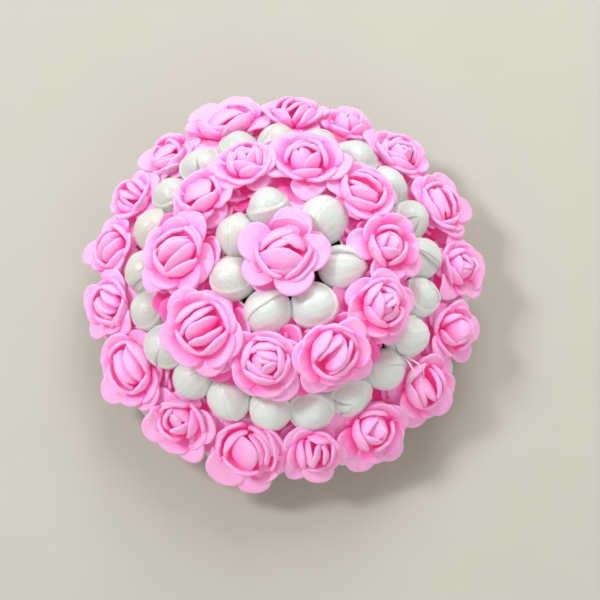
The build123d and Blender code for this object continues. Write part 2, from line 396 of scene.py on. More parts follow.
# %% Rose forms
PetalRing = namedtuple("PetalRing", "count turn base bend tip half cup lip")
SKIRT = (5, 8, (0.26, 6.6), (0.70, 6.4), (1.03, 8.6), 0.45, (0.1, 0.3), 0.3)
LOBES = (5, 0, (0.10, 8.9), (0.60, 12.6), (1.08, 12.2), 0.43, (0.05, 0.25), 0.25)
CUPS = (5, 36, (0.10, 9.3), (0.66, 12.4), (0.88, 13.6), 0.41, (0.15, 0.4), 0.3)
ROSE_FORMS = {
    "open": (
        CUPS,
        (3, 10, (0.08, 9.8), (0.70, 12.2), (0.44, 16.2), 0.42, (0.8, 1.0), 0.2),
        (3, 70, (0.06, 10.2), (0.52, 13.2), (0.20, 17.0), 0.36, (0.9, 1.1), 0.1),
        (1, 0, (0.05, 10.4), (0.40, 14.4), (-0.14, 17.3), 0.30, (0.9, 1.1), 0.0),
    ),
    "tight": (
        CUPS,
        (4, 10, (0.08, 9.8), (0.78, 12.0), (0.50, 15.7), 0.42, (0.7, 0.9), 0.3),
        (3, 50, (0.06, 10.2), (0.64, 13.2), (0.32, 16.7), 0.40, (0.8, 1.0), 0.2),
        (3, 0, (0.05, 10.4), (0.46, 14.0), (0.13, 17.3), 0.32, (0.8, 0.9), 0.1),
        (1, 0, (0.03, 10.6), (0.20, 14.8), (-0.04, 17.5), 0.24, (0.5, 0.6), 0.0),
    ),
    "ribs": (
        CUPS,
        (2, 90, (0.08, 9.8), (0.78, 11.8), (0.56, 15.4), 0.44, (0.7, 0.85), 0.4),
        (2, 0, (0.08, 9.8), (0.80, 12.2), (0.48, 16.0), 0.50, (0.7, 0.85), 0.3),
        (2, 0, (0.05, 10.0), (0.57, 13.6), (0.20, 16.9), 0.47, (0.6, 0.75), 0.2),
        (1, 0, (0.03, 10.6), (0.24, 14.6), (-0.16, 16.7), 0.43, (0.3, 0.4), 0.0),
    ),
    "ball": (
        CUPS,
        (2, 90, (0.08, 9.8), (0.80, 11.8), (0.58, 15.4), 0.46, (0.7, 0.9), 0.3),
        (1, 180, (0.08, 9.8), (0.82, 12.8), (0.50, 16.4), 0.54, (0.8, 1.0), 0.4),
        (1, 0, (0.08, 9.8), (0.86, 15.8), (-0.44, 16.6), 0.56, (0.8, 1.1), 0.0),
    ),
    "closed": (
        (4, 60, (0.10, 9.4), (0.74, 11.0), (0.84, 13.6), 0.42, (0.35, 0.6), 0.3),
        (2, 250, (0.08, 9.8), (0.82, 12.0), (0.66, 14.8), 0.48, (0.7, 0.85), 0.3),
        (1, 290, (0.08, 9.8), (0.70, 12.4), (0.55, 15.6), 0.46, (0.7, 0.9), 0.3),
        (3, 30, (0.06, 10.0), (0.64, 12.8), (0.44, 16.2), 0.44, (0.8, 1.0), 0.2),
        (1, 262, (0.06, 10.0), (0.54, 13.6), (0.34, 16.4), 0.42, (0.8, 1.0), 0.1),
        (1, 85, (0.06, 10.0), (0.66, 15.8), (-0.26, 17.2), 0.48, (0.7, 0.9), 0.0),
    ),
    "crown": (
        (3, 75, (0.10, 9.4), (0.74, 11.0), (0.80, 13.0), 0.46, (0.3, 0.5), 0.3),
        (1, 330, (0.08, 9.8), (0.78, 12.2), (0.56, 15.2), 0.52, (0.6, 0.8), 0.3),
        (1, 222, (0.08, 9.8), (0.80, 12.2), (0.56, 15.0), 0.52, (0.8, 1.0), 0.3),
        (1, 282, (0.08, 9.8), (0.80, 12.4), (0.48, 15.3), 0.54, (0.8, 1.0), 0.2),
        (1, 128, (0.06, 10.0), (0.84, 14.4), (0.34, 16.6), 0.50, (0.8, 1.0), 0.1),
        (1, 52, (0.06, 10.0), (0.80, 14.6), (0.26, 16.8), 0.50, (0.8, 1.0), 0.1),
        (1, 105, (0.05, 10.2), (0.56, 15.0), (0.12, 17.0), 0.38, (0.8, 0.9), 0.0),
        (1, 268, (0.05, 10.0), (0.90, 15.2), (0.02, 17.0), 0.58, (0.8, 1.0), 0.0),
    ),
}
print("rings inside the lobes:", {form: len(rings) for form, rings in ROSE_FORMS.items()})

# %% [markdown]
# ## Which rose stands where
#
# Each rose in the photograph is matched by a form, how far its lobes and its heart are
# turned, how far and towards which side the heart leans, and its size. The roses of the
# outer ring also nod outward, so that their petals hang over the rim.

# %% Looks of the roses
RoseLook = namedtuple("RoseLook", "form spin heart_spin lean toward size")
NOD = {"centre": 0, "inner_": 3, "outer_": 20}
LOOKS_BY_NAME = (
    ("crown", 5, 0, 4, 270, 0.76),  # the centre rose
    ("open", 30, 200, 15, 190, 1.06),  # the inner roses, 1 to 10
    ("ribs", 10, 70, 7, 180, 1.05),
    ("open", 50, 20, 13, 250, 1.02),
    ("tight", 20, 100, 12, 20, 1.14),
    ("ball", 20, 130, 0, 0, 1.2),
    ("ribs", 60, 300, 9, 25, 0.92),
    ("ribs", 55, 300, 9, 15, 0.96),
    ("tight", 20, 60, 14, 60, 1.12),
    ("ribs", 40, 150, 8, 35, 1.0),
    ("tight", 80, 140, 13, 45, 1.02),
    ("open", 20, 100, 13, 180, 0.92),  # the outer roses, 1 to 17
    ("ribs", 60, 15, 9, 200, 0.98),
    ("tight", 5, 60, 13, 240, 1.0),
    ("open", 40, 290, 14, 300, 1.12),
    ("ribs", 18, 140, 7, 290, 1.12),
    ("ball", 20, 150, 0, 0, 1.12),
    ("closed", 50, 40, 12, 300, 1.04),
    ("ribs", 30, 60, 9, 330, 1.1),
    ("ribs", 36, 315, 11, 330, 1.06),
    ("ribs", 10, 50, 9, 350, 1.04),
    ("ribs", 54, 20, 9, 60, 1.04),
    ("open", 40, 200, 15, 60, 1.03),
    ("closed", 54, 95, 10, 80, 1.12),
    ("ribs", 18, 8, 9, 60, 1.16),
    ("open", 48, 215, 15, 120, 1.08),
    ("ribs", 62, 50, 9, 140, 1.04),
    ("closed", 10, 90, 12, 180, 0.98),
)
ROSE_LOOKS = {name: RoseLook(*row) for name, row in zip(sewn_roses, LOOKS_BY_NAME)}

# %% The petals of a rose
LOW_PETAL = PetalRing(1, 0, (0.26, 5.2), (0.85, 5.0), (1.40, 5.4), 0.50, (0.05, 0.1), 0.0)
LOW_TURNS = {"inner_": (-115, -45, 0, 45, 115), "outer_": (-45, 0, 45)}
HEART_RINGS_FROM = 3
OUTER_HEART = 0.93
# Painted shade: the spans along a petal over which its colour goes from deep pink between the
# petals to pale; low petals stay mostly in deep shade.
LOW_SHADE_SPAN = (0.6, 1.6)
RING_SHADE_SPANS = ((0.25, 1.15), (0.05, 0.55), (0.30, 1.05))
UPHILL_STRETCH = (0.35, 0.2)
DOWNHILL_DROP, LOBE_RISE = -1.2, 1.6


def rose_petals(look, ring_name, uphill, dice):
    """The petals of a rose in its own frame, heart petals last. Uphill is the crown's side."""
    petals, low = [], LOW_PETAL
    for turn in LOW_TURNS.get(ring_name, ()):
        tip = (low.tip[0] * dice.uniform(0.9, 1.1), low.tip[1] + dice.uniform(-0.5, 0.5))
        petals.append((False, Petal(
            uphill + turn, low.base, low.bend, tip, low.half, low.cup, low.lip, LOW_SHADE_SPAN
        )))
    outer = ring_name == "outer_"
    narrow = OUTER_HEART if outer else 1.0
    for place, row in enumerate((SKIRT, LOBES, *ROSE_FORMS[look.form])):
        ring = PetalRing(*row)
        heart = place >= HEART_RINGS_FROM
        start = ring.turn + (look.heart_spin if heart else look.spin)
        for number in range(ring.count):
            turn = start + 360 / ring.count * number + dice.uniform(-13, 13)
            lift = 0.35 * (-1) ** number + dice.uniform(-0.4, 0.4)
            stretch = dice.uniform(0.88, 1.08)
            if place < len(UPHILL_STRETCH) and uphill is not None:
                facing = cos(radians(turn - uphill))
                stretch *= 1 + UPHILL_STRETCH[place] * max(facing, 0) ** 2
                change = LOBE_RISE if outer and place == 1 else DOWNHILL_DROP
                lift += change * max(-facing, 0)
            stretch *= narrow
            tip = (ring.tip[0] * stretch, ring.tip[1] + lift)
            bend = (ring.bend[0] * narrow, ring.bend[1] + 0.5 * lift)
            half = ring.half * dice.uniform(0.86, 1.14) * narrow
            lip = ring.lip * dice.uniform(0.1, 0.7)
            pale = RING_SHADE_SPANS[min(place, 2)]
            petals.append((heart, Petal(turn, ring.base, bend, tip, half, ring.cup, lip, pale)))
    return petals


# %% A petal behind or below a bud
TUCKED = 1.6
BESIDE_BUD = 1.5
SHORT_TIP, LEAST_TIP = 0.4, 0.5
LOW_TIP = 13.4
FOLDED_LEVEL = 16.0
TUCKED_BEND, TUCKED_TIP = 10.6, 9.6


def pressed(petal, reach, before):
    """A petal that points at a bud nearer the crown: a low one tucks in, a high one folds up."""
    (r1, z1), (r2, z2) = petal.bend, petal.tip
    for centre, radius in before:
        away = centre.xy.length
        angle = np.arctan2(centre.y, centre.x) - radians(petal.turn)
        aside = away * sin(angle)
        if r2 < SHORT_TIP or cos(angle) < 0 or abs(aside) > radius + BESIDE_BUD:
            continue
        near = away * cos(angle) - sqrt(max(radius**2 - aside**2, 0))
        low = z2 < LOW_TIP
        allowed = max(near + (TUCKED if low else 0), LEAST_TIP * reach) / reach
        if allowed < r2:
            z2 = z2 - 0.3 if low else min(z2 + 0.5 * (r2 - allowed) * reach, FOLDED_LEVEL)
            r1, r2 = min(r1, 1.1 * allowed), allowed
    if petal.tip[1] < LOW_TIP and r2 < petal.tip[0]:
        z1, z2 = min(z1, TUCKED_BEND), min(z2, TUCKED_TIP)
    return petal._replace(bend=(r1, z1), tip=(r2, z2))


# %% [markdown]
# ## Making a rose
#
# A rose is its petals, a plug of foam that fills its heart and a waisted stem that is sewn to
# the cloth. Each point also carries a painted shade tone, 0 deep between the petals and 1 at
# their tips: the foam is painted a deeper pink where shade falls and light bounces from petal
# to petal.

# %% Turned bodies and mesh objects
def lathe(profile, segments):
    """Points and faces of a turned body, closed at both ends."""
    turns = np.linspace(0, 2 * pi, segments, endpoint=False)
    counts = [segments if radius else 1 for radius, _ in profile]
    points = [
        (radius * cos(t), radius * sin(t), level)
        for (radius, level), count in zip(profile, counts) for t in turns[:count]
    ]
    return points, skin(counts)


def mesh_object(name, bodies, to_world, *labels):
    """A smooth mesh object of bodies, each with points, faces and a row of values per label."""
    mesh = bpy.data.meshes.new(name)
    points, faces = [], []
    for body_points, body_faces, *_ in bodies:
        faces.extend(tuple(i + len(points) for i in face) for face in body_faces)
        points.extend(tuple(p) for p in body_points)
    mesh.from_pydata(points, [], faces)
    for label, *rows in zip(labels, *(body[2:] for body in bodies)):
        values = np.concatenate(rows).astype(np.float32)
        vector = values.ndim == 2
        layer = mesh.attributes.new(label, "FLOAT_VECTOR" if vector else "FLOAT", "POINT")
        layer.data.foreach_set("vector" if vector else "value", values.reshape(-1))
    mesh.transform(to_world)
    shell = bmesh.new()
    shell.from_mesh(mesh)
    bmesh.ops.recalc_face_normals(shell, faces=shell.faces)
    shell.to_mesh(mesh)
    shell.free()
    mesh.polygons.foreach_set("use_smooth", [True] * len(mesh.polygons))
    return add_object(name, mesh)


def triangles(*objects):
    """How many triangles some objects have."""
    return sum(len(p.vertices) - 2 for made in objects for p in made.data.polygons)


# %% Roses
STEM_PROFILE = ((3.6, 0.35), (3.1, 1.2), (2.6, 3.0), (2.55, 5.0), (2.9, 7.0), (4.2, 8.6),
                (3.0, 9.8))
PLUG_PROFILE = ((0.0, 9.0), (2.2, 9.6), (2.6, 11.5), (2.3, 13.6), (1.3, 14.9), (0.0, 15.3))
STEM_SEGMENTS = 20
# Painted shade: stems and heart plugs carry a deep tone, as they stand in the shade under the
# petals.
STEM_SHADE_TONE = 0.1
STEEP = 0.99
HEART_PIVOT = np.array((0, 0, 9.5))


def tilted(grid, degrees, direction):
    """A grid that leans towards a direction, about the foot of the rose's heart."""
    turn = Matrix.Rotation(radians(degrees), 3, Vector((-direction.y, direction.x, 0)))
    return (grid - HEART_PIVOT) @ np.array(turn).T + HEART_PIVOT


def make_rose(rose):
    """One foam rose of thick petals, a plug and a stem."""
    look = ROSE_LOOKS[rose.name]
    ring_name = rose.name[:6]
    dice = np.random.default_rng(sum(map(ord, rose.name)) * 13)
    walls, under, before = room_of(rose)
    reach = rose.reach * look.size
    toward = radians(look.toward)
    crown = rose.frame.inverted() @ ABOVE_CROWN
    uphill = crown.xy.normalized() if crown.xy.length > 1 else Vector((0, 1))
    slope = uphill_angle(rose.axis) if rose.axis.z < STEEP else None
    bodies = []
    for heart, petal in rose_petals(look, ring_name, slope, dice):
        petal = pressed(petal, reach, before)
        # share is each point's painted shade tone.
        grid, share = petal_middle(petal, reach, dice)
        if heart:
            grid = tilted(grid, look.lean, Vector((cos(toward), sin(toward))))
        grid = give_way(tilted(grid, NOD[ring_name], uphill), walls, under)
        bodies.append(thick_petal(grid, share, HEART_WALL if heart else LOBE_WALL))
    for profile in (STEM_PROFILE, PLUG_PROFILE):
        points, faces = lathe(profile, STEM_SEGMENTS)
        bodies.append((points, faces, [STEM_SHADE_TONE] * len(points)))
    # The painted shade tone of every point goes with the mesh.
    return mesh_object(rose.name + "_foam", bodies, rose.frame, "petal_tone")


rose_objects = {name: make_rose(rose) for name, rose in sewn_roses.items()}
print("triangles in the centre rose:", triangles(rose_objects["centre_rose"]))

# %% [markdown]
# ## Satin buds
#
# Each bud is a ball of padding wrapped in pieces of satin. Some wraps overlap along folds
# that run to a short point, and some make a cup with a soft rim in which the ball sits. A
# round mesh with even spacing would blur such thin edges, so the columns of points lie close
# together on both sides of each fold, and the rows on both sides of the cup's rim.

# %% The form of a bud
BEFORE_FOLD, AFTER_FOLD = (-13, -6, -2.4, -0.6), (0.6, 3, 8, 16)
CUP_EDGE = 1.12
BUD_ROWS = np.sort(np.append(
    np.linspace(0, pi, 27)[1:-1], CUP_EDGE + np.array([-0.06, -0.02, 0.02, 0.07, 0.14, 0.2])
))[:, None]
WRAP_SINK = 0.25
TIP_HEIGHT, TIP_WIDTH = 0.6, 0.26
GATHER_RISE = 0.35
BudLook = namedtuple("BudLook", "tip_turn tip_lean spin wraps step lip cup size")


def bell(value, middle, width):
    """A soft bump of height 1."""
    return np.exp(-(((value - middle) / width) ** 2))


def fold_columns(count, dice):
    """Columns of a bud: degrees, how far a wrap rises, how its edge rolls, and the painted crease
    shade.
    """
    folds = np.arange(count) * 360 / count + dice.uniform(-22, 22, count) * np.arange(count)
    columns = []
    for number, fold in enumerate(folds):
        following = folds[(number + 1) % count] + (360 if number == count - 1 else 0)
        span = following - fold
        for offset in AFTER_FOLD:
            columns.append((fold + offset, 1 - offset / span, bell(offset, 3, 6), 0))
        for part in np.linspace(0.16, 0.88, 12 // count + 1):
            columns.append((fold + part * span, 1 - part, 0, 0))
        for offset in BEFORE_FOLD:
            roll, crease_shade = -0.5 * bell(offset, -0.6, 3.5), bell(offset, -0.6, 3.0)
            columns.append((following + offset, -offset / span, roll, crease_shade))
    return np.array(columns).T


def bud_grid(look, dice):
    """Points of one bud in its own frame with its tip up, and the painted shade in its folds and
    under its cup's rim.
    """
    degrees, rise, roll, crease_shade = fold_columns(look.wraps, dice)
    polar = BUD_ROWS
    twist = dice.uniform(-0.3, 0.3) * np.cos(polar) + dice.uniform(-0.1, 0.1) * np.sin(3 * polar)
    angle = np.radians(degrees)[None, :] + twist
    fade = smooth(polar / 0.5) * smooth((pi - polar) / 0.9)
    tip = 0 if look.cup else TIP_HEIGHT
    radius = BUD_RADIUS - WRAP_SINK + fade * (look.step * rise + look.lip * roll)[None, :]
    radius = radius + tip * bell(polar, 0, TIP_WIDTH)
    beyond = polar + 0.06 * np.sin(2 * angle + dice.uniform(0, 6)) - CUP_EDGE
    rim = smooth(beyond / 0.05 + 0.5) * (1 - 0.5 * smooth(beyond / 1.2))
    radius = radius + look.cup * (rim + 0.5 * bell(beyond, 0.09, 0.08))
    # Painted shade: a dark line just under a cup's rim, or along each fold's crease.
    shade = 0.8 * bell(beyond, -0.02, 0.05) if look.cup else crease_shade * fade
    pinch = np.cos(3 * angle + dice.uniform(0, 6))
    radius = radius + 0.35 * tip * bell(polar, 0, 0.55) * pinch
    radius = radius * (
        1
        + 0.03 * np.sin(2 * angle + dice.uniform(0, 6)) * np.sin(polar)
        + 0.028 * np.sin(3 * angle + dice.uniform(0, 6)) * np.sin(polar) ** 2
        + 0.02 * np.cos(2 * polar)
    )
    radius = radius * look.size
    x, y = (radius * np.sin(polar) * turned for turned in (np.cos(angle), np.sin(angle)))
    spread = smooth(polar / 1.2) if look.cup else 1.0 + 0 * polar
    gathers = (spread * np.cos(angle), spread * np.sin(angle), GATHER_RISE * polar + 0 * angle)
    return np.stack((x, y, radius * np.cos(polar)), axis=-1), shade, np.stack(gathers, -1), tip


def bud_mesh(grid, crease_shade, gathers, tip, size, to_world):
    """Points in metres, faces, painted shade values and gathers of one bud."""
    top = (0, 0, grid[0, :, 2].max() + (0.04 + 0.2 * tip) * size)
    tail = (0, 0, -(BUD_RADIUS - 0.2) * size)
    local = np.concatenate([[top], grid.reshape(-1, 3), [tail]])
    points = [to_world @ Vector(p) for p in local]
    faces = skin([1, *[grid.shape[1]] * len(grid), 1])
    gathers = np.concatenate([[(0, 0, 0)], gathers.reshape(-1, 3), [(0, 0, GATHER_RISE * pi)]])
    return points, faces, [0.0, *crease_shade.reshape(-1), 0.0], gathers


# %% Looks of the buds
CROWN_BUD_LOOKS = (
    (46, 78, 172, 2, 0.16, 0.04, 0.0, 1.26),
    (120, 30, 205, 2, 0.0, 0.0, 0.3, 1.12),
    (75, 70, 180, 2, 0.34, 0.12, 0.0, 1.06),
    (70, 24, 150, 2, 0.0, 0.0, 0.34, 1.14),
    (215, 78, 200, 2, 0.40, 0.20, 0.0, 1.2),
    (150, 22, 130, 2, 0.0, 0.0, 0.3, 1.18),
    (2, 66, 62, 3, 0.32, 0.10, 0.0, 1.14),
)
CUPPED_SHARE = 0.6


def bud_look(name, uphill, dice):
    """How one bud is turned and folded. Uphill is the picture's angle towards the crown."""
    if name.startswith("crown"):
        return BudLook(*CROWN_BUD_LOOKS[int(name[-1]) - 1])
    cupped = dice.uniform(0, 1) < CUPPED_SHARE
    low, high = (8, 34) if cupped else (62, 88)
    return BudLook(
        tip_turn=uphill + dice.uniform(-70, 70),
        tip_lean=dice.uniform(low, high),
        spin=180 + dice.uniform(-75, 75),
        wraps=int(dice.integers(2, 4)),
        step=0.0 if cupped else dice.uniform(0.15, 0.35),
        lip=0.0 if cupped else dice.uniform(0.05, 0.15),
        cup=dice.uniform(0.32, 0.46) if cupped else 0.0,
        size=dice.uniform(1.0, 1.06) if name.startswith("rim") else dice.uniform(1.02, 1.2),
    )


def bud_frame(axis, look):
    """A bud's frame in metres, with its tip leaning from the outward axis."""
    return (
        sewn_frame(axis)
        @ Matrix.Translation((0, 0, BUD_LEVEL))
        @ Matrix.Rotation(radians(look.tip_turn), 4, "Z")
        @ Matrix.Rotation(radians(look.tip_lean), 4, "Y")
        @ Matrix.Rotation(radians(look.spin), 4, "Z")
    )


# %% Buds
ABOVE_TABLE = 0.1 * MM
# Painted light: buds on the near and right sides, away from the window, are painted whiter.
BASE_WHITENESS, PAINTED_LIGHT_LIFT = 0.92, 0.26

bud_objects = {}
for name, axes in bud_axes.items():
    dice = np.random.default_rng(sum(map(ord, name)) * 7)
    bodies = []
    for axis in axes:
        look = bud_look(name, uphill_angle(axis), dice)
        points, *rest = bud_mesh(*bud_grid(look, dice), look.size, bud_frame(axis, look))
        points = [(p.x, p.y, max(p.z, ABOVE_TABLE)) for p in points]
        tint = dice.uniform(0, 0.5) - 0.5 * axis.x
        # Painted light lifts the buds away from the window; the small random part is each bud's
        # own whiteness.
        painted_light_share = float(smooth((axis.x - 1.2 * axis.y + 1.1) / 2.2))
        white = BASE_WHITENESS + PAINTED_LIGHT_LIFT * painted_light_share + dice.uniform(-0.03, 0.03)
        bodies.append((points, *rest, [tint] * len(points), [white] * len(points)))
    bud_objects[name] = mesh_object(
        name + "_satin", bodies, Matrix.Identity(4), "fold", "gathers", "tint", "whiteness"
    )
print("triangles in the middle string:", triangles(bud_objects["middle_bud_string"]))

# %% [markdown]
# ## The cloth cap
#
# The cap is one piece of black cloth stretched to a dome, with a hem turned up at its open
# edge. It is turned from a profile, outside and inside, and then disturbed: the cloth is
# drawn up at each stem that is sewn to it and gathers a little at the hem. The weave needs
# to know where each point lay in the flat cloth, so that place is kept with the mesh.

# %% Cap profile
CLOTH_WALL, HEM_WALL, HEM_HEIGHT, DOME_DROP = 1.6, 2.6, 4.0, 7.0
NEARLY_CROWN = 0.99995


def dome_arc(radius, low, high, count):
    """Profile points on an arc round the dome's centre, between two levels."""
    polar = np.linspace(np.arccos(low / radius), np.arccos(high / radius), count)
    return [(radius * sin(t), radius * cos(t)) for t in polar]


hem_top = DOME_DROP + HEM_HEIGHT
inside = CAP_RADIUS - CLOTH_WALL
hem_inside = CAP_RADIUS - HEM_WALL
hem_edge = sqrt(CAP_RADIUS**2 - DOME_DROP**2)
cap_profile = (
    dome_arc(CAP_RADIUS, CAP_RADIUS * NEARLY_CROWN, DOME_DROP + 0.8, 60)
    + [(hem_edge - 0.15, DOME_DROP + 0.3), (hem_edge - 0.6, DOME_DROP + 0.02)]
    + [(hem_edge - 1.3, DOME_DROP), (hem_edge - 2.1, DOME_DROP + 0.05)]
    + dome_arc(hem_inside, DOME_DROP + 0.4, hem_top - 0.4, 6)
    + dome_arc(hem_inside + 0.35, hem_top - 0.08, hem_top, 2)
    + dome_arc(inside, hem_top + 0.3, inside * NEARLY_CROWN, 50)
)
print("rows in the cap:", len(cap_profile))

# %% Cap
CAP_COLUMNS = 220
STEM_PULL, STEM_SPREAD = 0.25, 3.2
HEM_LINE = -0.9

sewn_axes = np.array([rose.axis for rose in sewn_roses.values()])
cap_points, cap_faces = lathe([(0.0, CAP_RADIUS), *cap_profile, (0.0, inside)], CAP_COLUMNS)
cap_points = np.array(cap_points)
directions = unit(cap_points)
apart = np.arccos(np.clip(directions @ sewn_axes.T, -1, 1)) * CAP_RADIUS
drawn_up = STEM_PULL * bell(apart, 0, STEM_SPREAD).sum(axis=1)
azimuth = np.arctan2(cap_points[:, 1], cap_points[:, 0])
near_hem = smooth((hem_top + 4 - cap_points[:, 2]) / 6)
gathers = np.sin(71 * azimuth) + 0.6 * np.sin(113 * azimuth + 1.0)
hem_groove = -0.18 * bell(cap_points[:, 2] - hem_top, HEM_LINE, 0.35)
lift = drawn_up + near_hem * 0.05 * gathers + hem_groove
cap_points[:, 0:2] += directions[:, 0:2] * lift[:, None]
cap_points[:, 2] = np.maximum(cap_points[:, 2] + directions[:, 2] * lift, DOME_DROP)
cloth_polar = np.arccos(np.clip(directions[:, 2], -1, 1)) * CAP_RADIUS
cloth_place = np.stack(
    (cloth_polar * np.cos(azimuth), cloth_polar * np.sin(azimuth), 0 * azimuth), axis=-1
)
cap_object = mesh_object(
    "cloth_cap_cloth", [(cap_points, cap_faces, cloth_place)], TO_DOME, "cloth_place"
)
print("triangles in the cap:", triangles(cap_object))

# %% [markdown]
# ## Threads and stitches
#
# The buds hang on rings of sewing thread. Up close such a thread is three strands twisted
# together, so each strand is a thin tube that winds round the ring. Where the string was
# tied off, two short ends stand out between the buds. The hem is held by a running stitch,
# and every rose by a cross of stitches that shows inside the cap.

# %% A tube along a line
THREAD_SIDES = 6


def tube(line, outward, radii, ring=False):
    """Points and faces of a thread along a line of points."""
    line, outward = np.asarray(line, float), np.asarray(outward, float)
    ahead = np.roll(line, -1, 0) - np.roll(line, 1, 0) if ring else np.gradient(line, axis=0)
    ahead = unit(ahead)
    side = unit(outward - ahead * (outward * ahead).sum(axis=1, keepdims=True))
    other = np.cross(ahead, side)
    spin = np.linspace(0, 2 * pi, THREAD_SIDES, endpoint=False)[None, :, None]
    round_it = np.cos(spin) * side[:, None] + np.sin(spin) * other[:, None]
    points = line[:, None] + np.broadcast_to(radii, len(line))[:, None, None] * round_it
    return points.reshape(-1, 3), skin([THREAD_SIDES] * len(line), ring)


# %% Twisted threads
PLY_RADIUS, PLY_OFFSET, END_RADIUS = 0.21, 0.19, 0.24
TWIST_LENGTH = 2.6
STEPS_IN_TWIST = 8
END_AZIMUTH = radians(-36)
THREAD_ENDS = (
    ((0, 0, 6.2), (0.2, 0, 11), (0.4, 0.4, 15.0), (3.2, -0.6, 15.4), (5.2, -2.8, 14.2),
     (6.8, -4.2, 13.0)),
    ((0, 0, 6.2), (-0.4, 0, 11), (-1.2, -0.6, 14.8), (0.6, -3.2, 15.6), (2.4, -4.8, 13.8),
     (3.0, -6.8, 12.4)),
)
end_side = Vector((cos(END_AZIMUTH), sin(END_AZIMUTH)))
string = sorted(bud_axes["middle_bud_string"], key=lambda axis: axis.xy.angle(end_side))
thread_gap = sewn_frame((string[0] + string[1]).normalized())


def bezier_line(corners, count):
    """Points along the smooth curve that a row of corners pulls on."""
    share = np.linspace(0, 1, count)[:, None]
    last = len(corners) - 1
    return sum(
        comb(last, k) * share**k * (1 - share) ** (last - k) * np.array(corner)
        for k, corner in enumerate(corners)
    )


def twisted_ring(name):
    """A ring of three twisted strands where the solid thread ring is."""
    low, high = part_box(name)
    ring_radius = ((high[0] - low[0]) - (high[2] - low[2])) / 2 / MM
    level = (high[2] + low[2]) / 2 / MM
    twists = round(2 * pi * ring_radius / TWIST_LENGTH)
    around = np.linspace(0, 2 * pi, twists * STEPS_IN_TWIST, endpoint=False)
    out = np.stack((np.cos(around), np.sin(around), 0 * around), axis=-1)
    bodies = []
    for strand in range(3):
        phase = twists * around + strand * 2 * pi / 3
        line = out * (ring_radius + PLY_OFFSET * np.cos(phase))[:, None]
        line[:, 2] = level + PLY_OFFSET * np.sin(phase)
        bodies.append(tube(line, out, PLY_RADIUS, ring=True))
    if name == "middle_thread":
        for route in THREAD_ENDS:
            line = bezier_line(route, 24) @ np.array(thread_gap.to_3x3()).T / MM
            line += np.array(thread_gap.translation) / MM
            bodies.append(tube(line, unit(line), END_RADIUS))
    return mesh_object(name + "_strands", bodies, Matrix.Scale(MM, 4))


thread_objects = {
    name: twisted_ring(name) for name in ("crown_thread", "middle_thread", "rim_thread")
}
print("threads:", list(thread_objects))

# %% Stitches in the cap
STITCH_RADII = 0.22 * np.array([0.45, 1.0, 1.0, 1.0, 0.45])
HEM_STITCHES, STITCH_SHARE = 64, 0.55
HEM_BOW, CROSS_BOW = 0.25, -0.3
CROSS_ARM = 1.7


def stitch(start, end, bow):
    """One stitch between two points on the cap, bowed away from the cloth."""
    share = np.linspace(0, 1, len(STITCH_RADII))[:, None]
    line = np.array(start) + (np.array(end) - np.array(start)) * share
    outward = unit(line)
    return tube(line + outward * bow * np.sin(pi * share), outward, STITCH_RADII)


hem_line = hem_top + HEM_LINE
hem_round = sqrt(CAP_RADIUS**2 - hem_line**2)
stitches = []
for number in range(HEM_STITCHES):
    turns = [2 * pi * (number + part) / HEM_STITCHES for part in (0.0, STITCH_SHARE)]
    ends = [(hem_round * cos(t), hem_round * sin(t), hem_line) for t in turns]
    stitches.append(stitch(*ends, HEM_BOW))
for rose in sewn_roses.values():
    side = rose.axis.orthogonal().normalized()
    middle = rose.axis * (inside + 0.1)
    for arm in (side, rose.axis.cross(side)):
        stitches.append(stitch(middle - arm * CROSS_ARM, middle + arm * CROSS_ARM, CROSS_BOW))
stitch_object = mesh_object("cap_stitches", stitches, TO_DOME)
print("stitches:", len(stitches))

# %% [markdown]
# ## Finishes
#
# Foam and satin both have a fine grain, at different sizes, so the grain is one node group
# that every material uses with its own values. The cloth is woven, so the weave is a second
# group: warp and weft threads rise and sink in turn.

# %% Nodes and groups
VECTORS = "VectorMath"


def plug(node, inputs):
    """Sets a node's inputs: an output of another node is linked, and a value is set."""
    for label, value in inputs.items():
        if isinstance(value, bpy.types.NodeSocket):
            node.id_data.links.new(value, node.inputs[label])
        else:
            node.inputs[label].default_value = value


def add_node(tree, kind, inputs=None, **settings):
    """A shader node with its settings, such as its operation, and its inputs."""
    node = tree.nodes.new("ShaderNode" + kind)
    for label, value in settings.items():
        setattr(node, label, value)
    plug(node, inputs or {})
    return node


def calculated(tree, operation, *inputs, kind="Math"):
    """The result of a calculation in a shader."""
    return add_node(tree, kind, dict(enumerate(inputs)), operation=operation).outputs[0]


def new_group(name, inputs, outputs):
    """A shader node group with named sockets, and the outputs that its inputs give inside."""
    group = bpy.data.node_groups.new(name, "ShaderNodeTree")
    for label, kind, value in inputs:
        socket = group.interface.new_socket(name=label, in_out="INPUT", socket_type=kind)
        socket.default_value = value
    for label in outputs:
        group.interface.new_socket(name=label, in_out="OUTPUT", socket_type="NodeSocketFloat")
    return group, group.nodes.new("NodeGroupInput").outputs, group.nodes.new("NodeGroupOutput")


# %% Shared grain
BROAD_GRAIN = 0.08

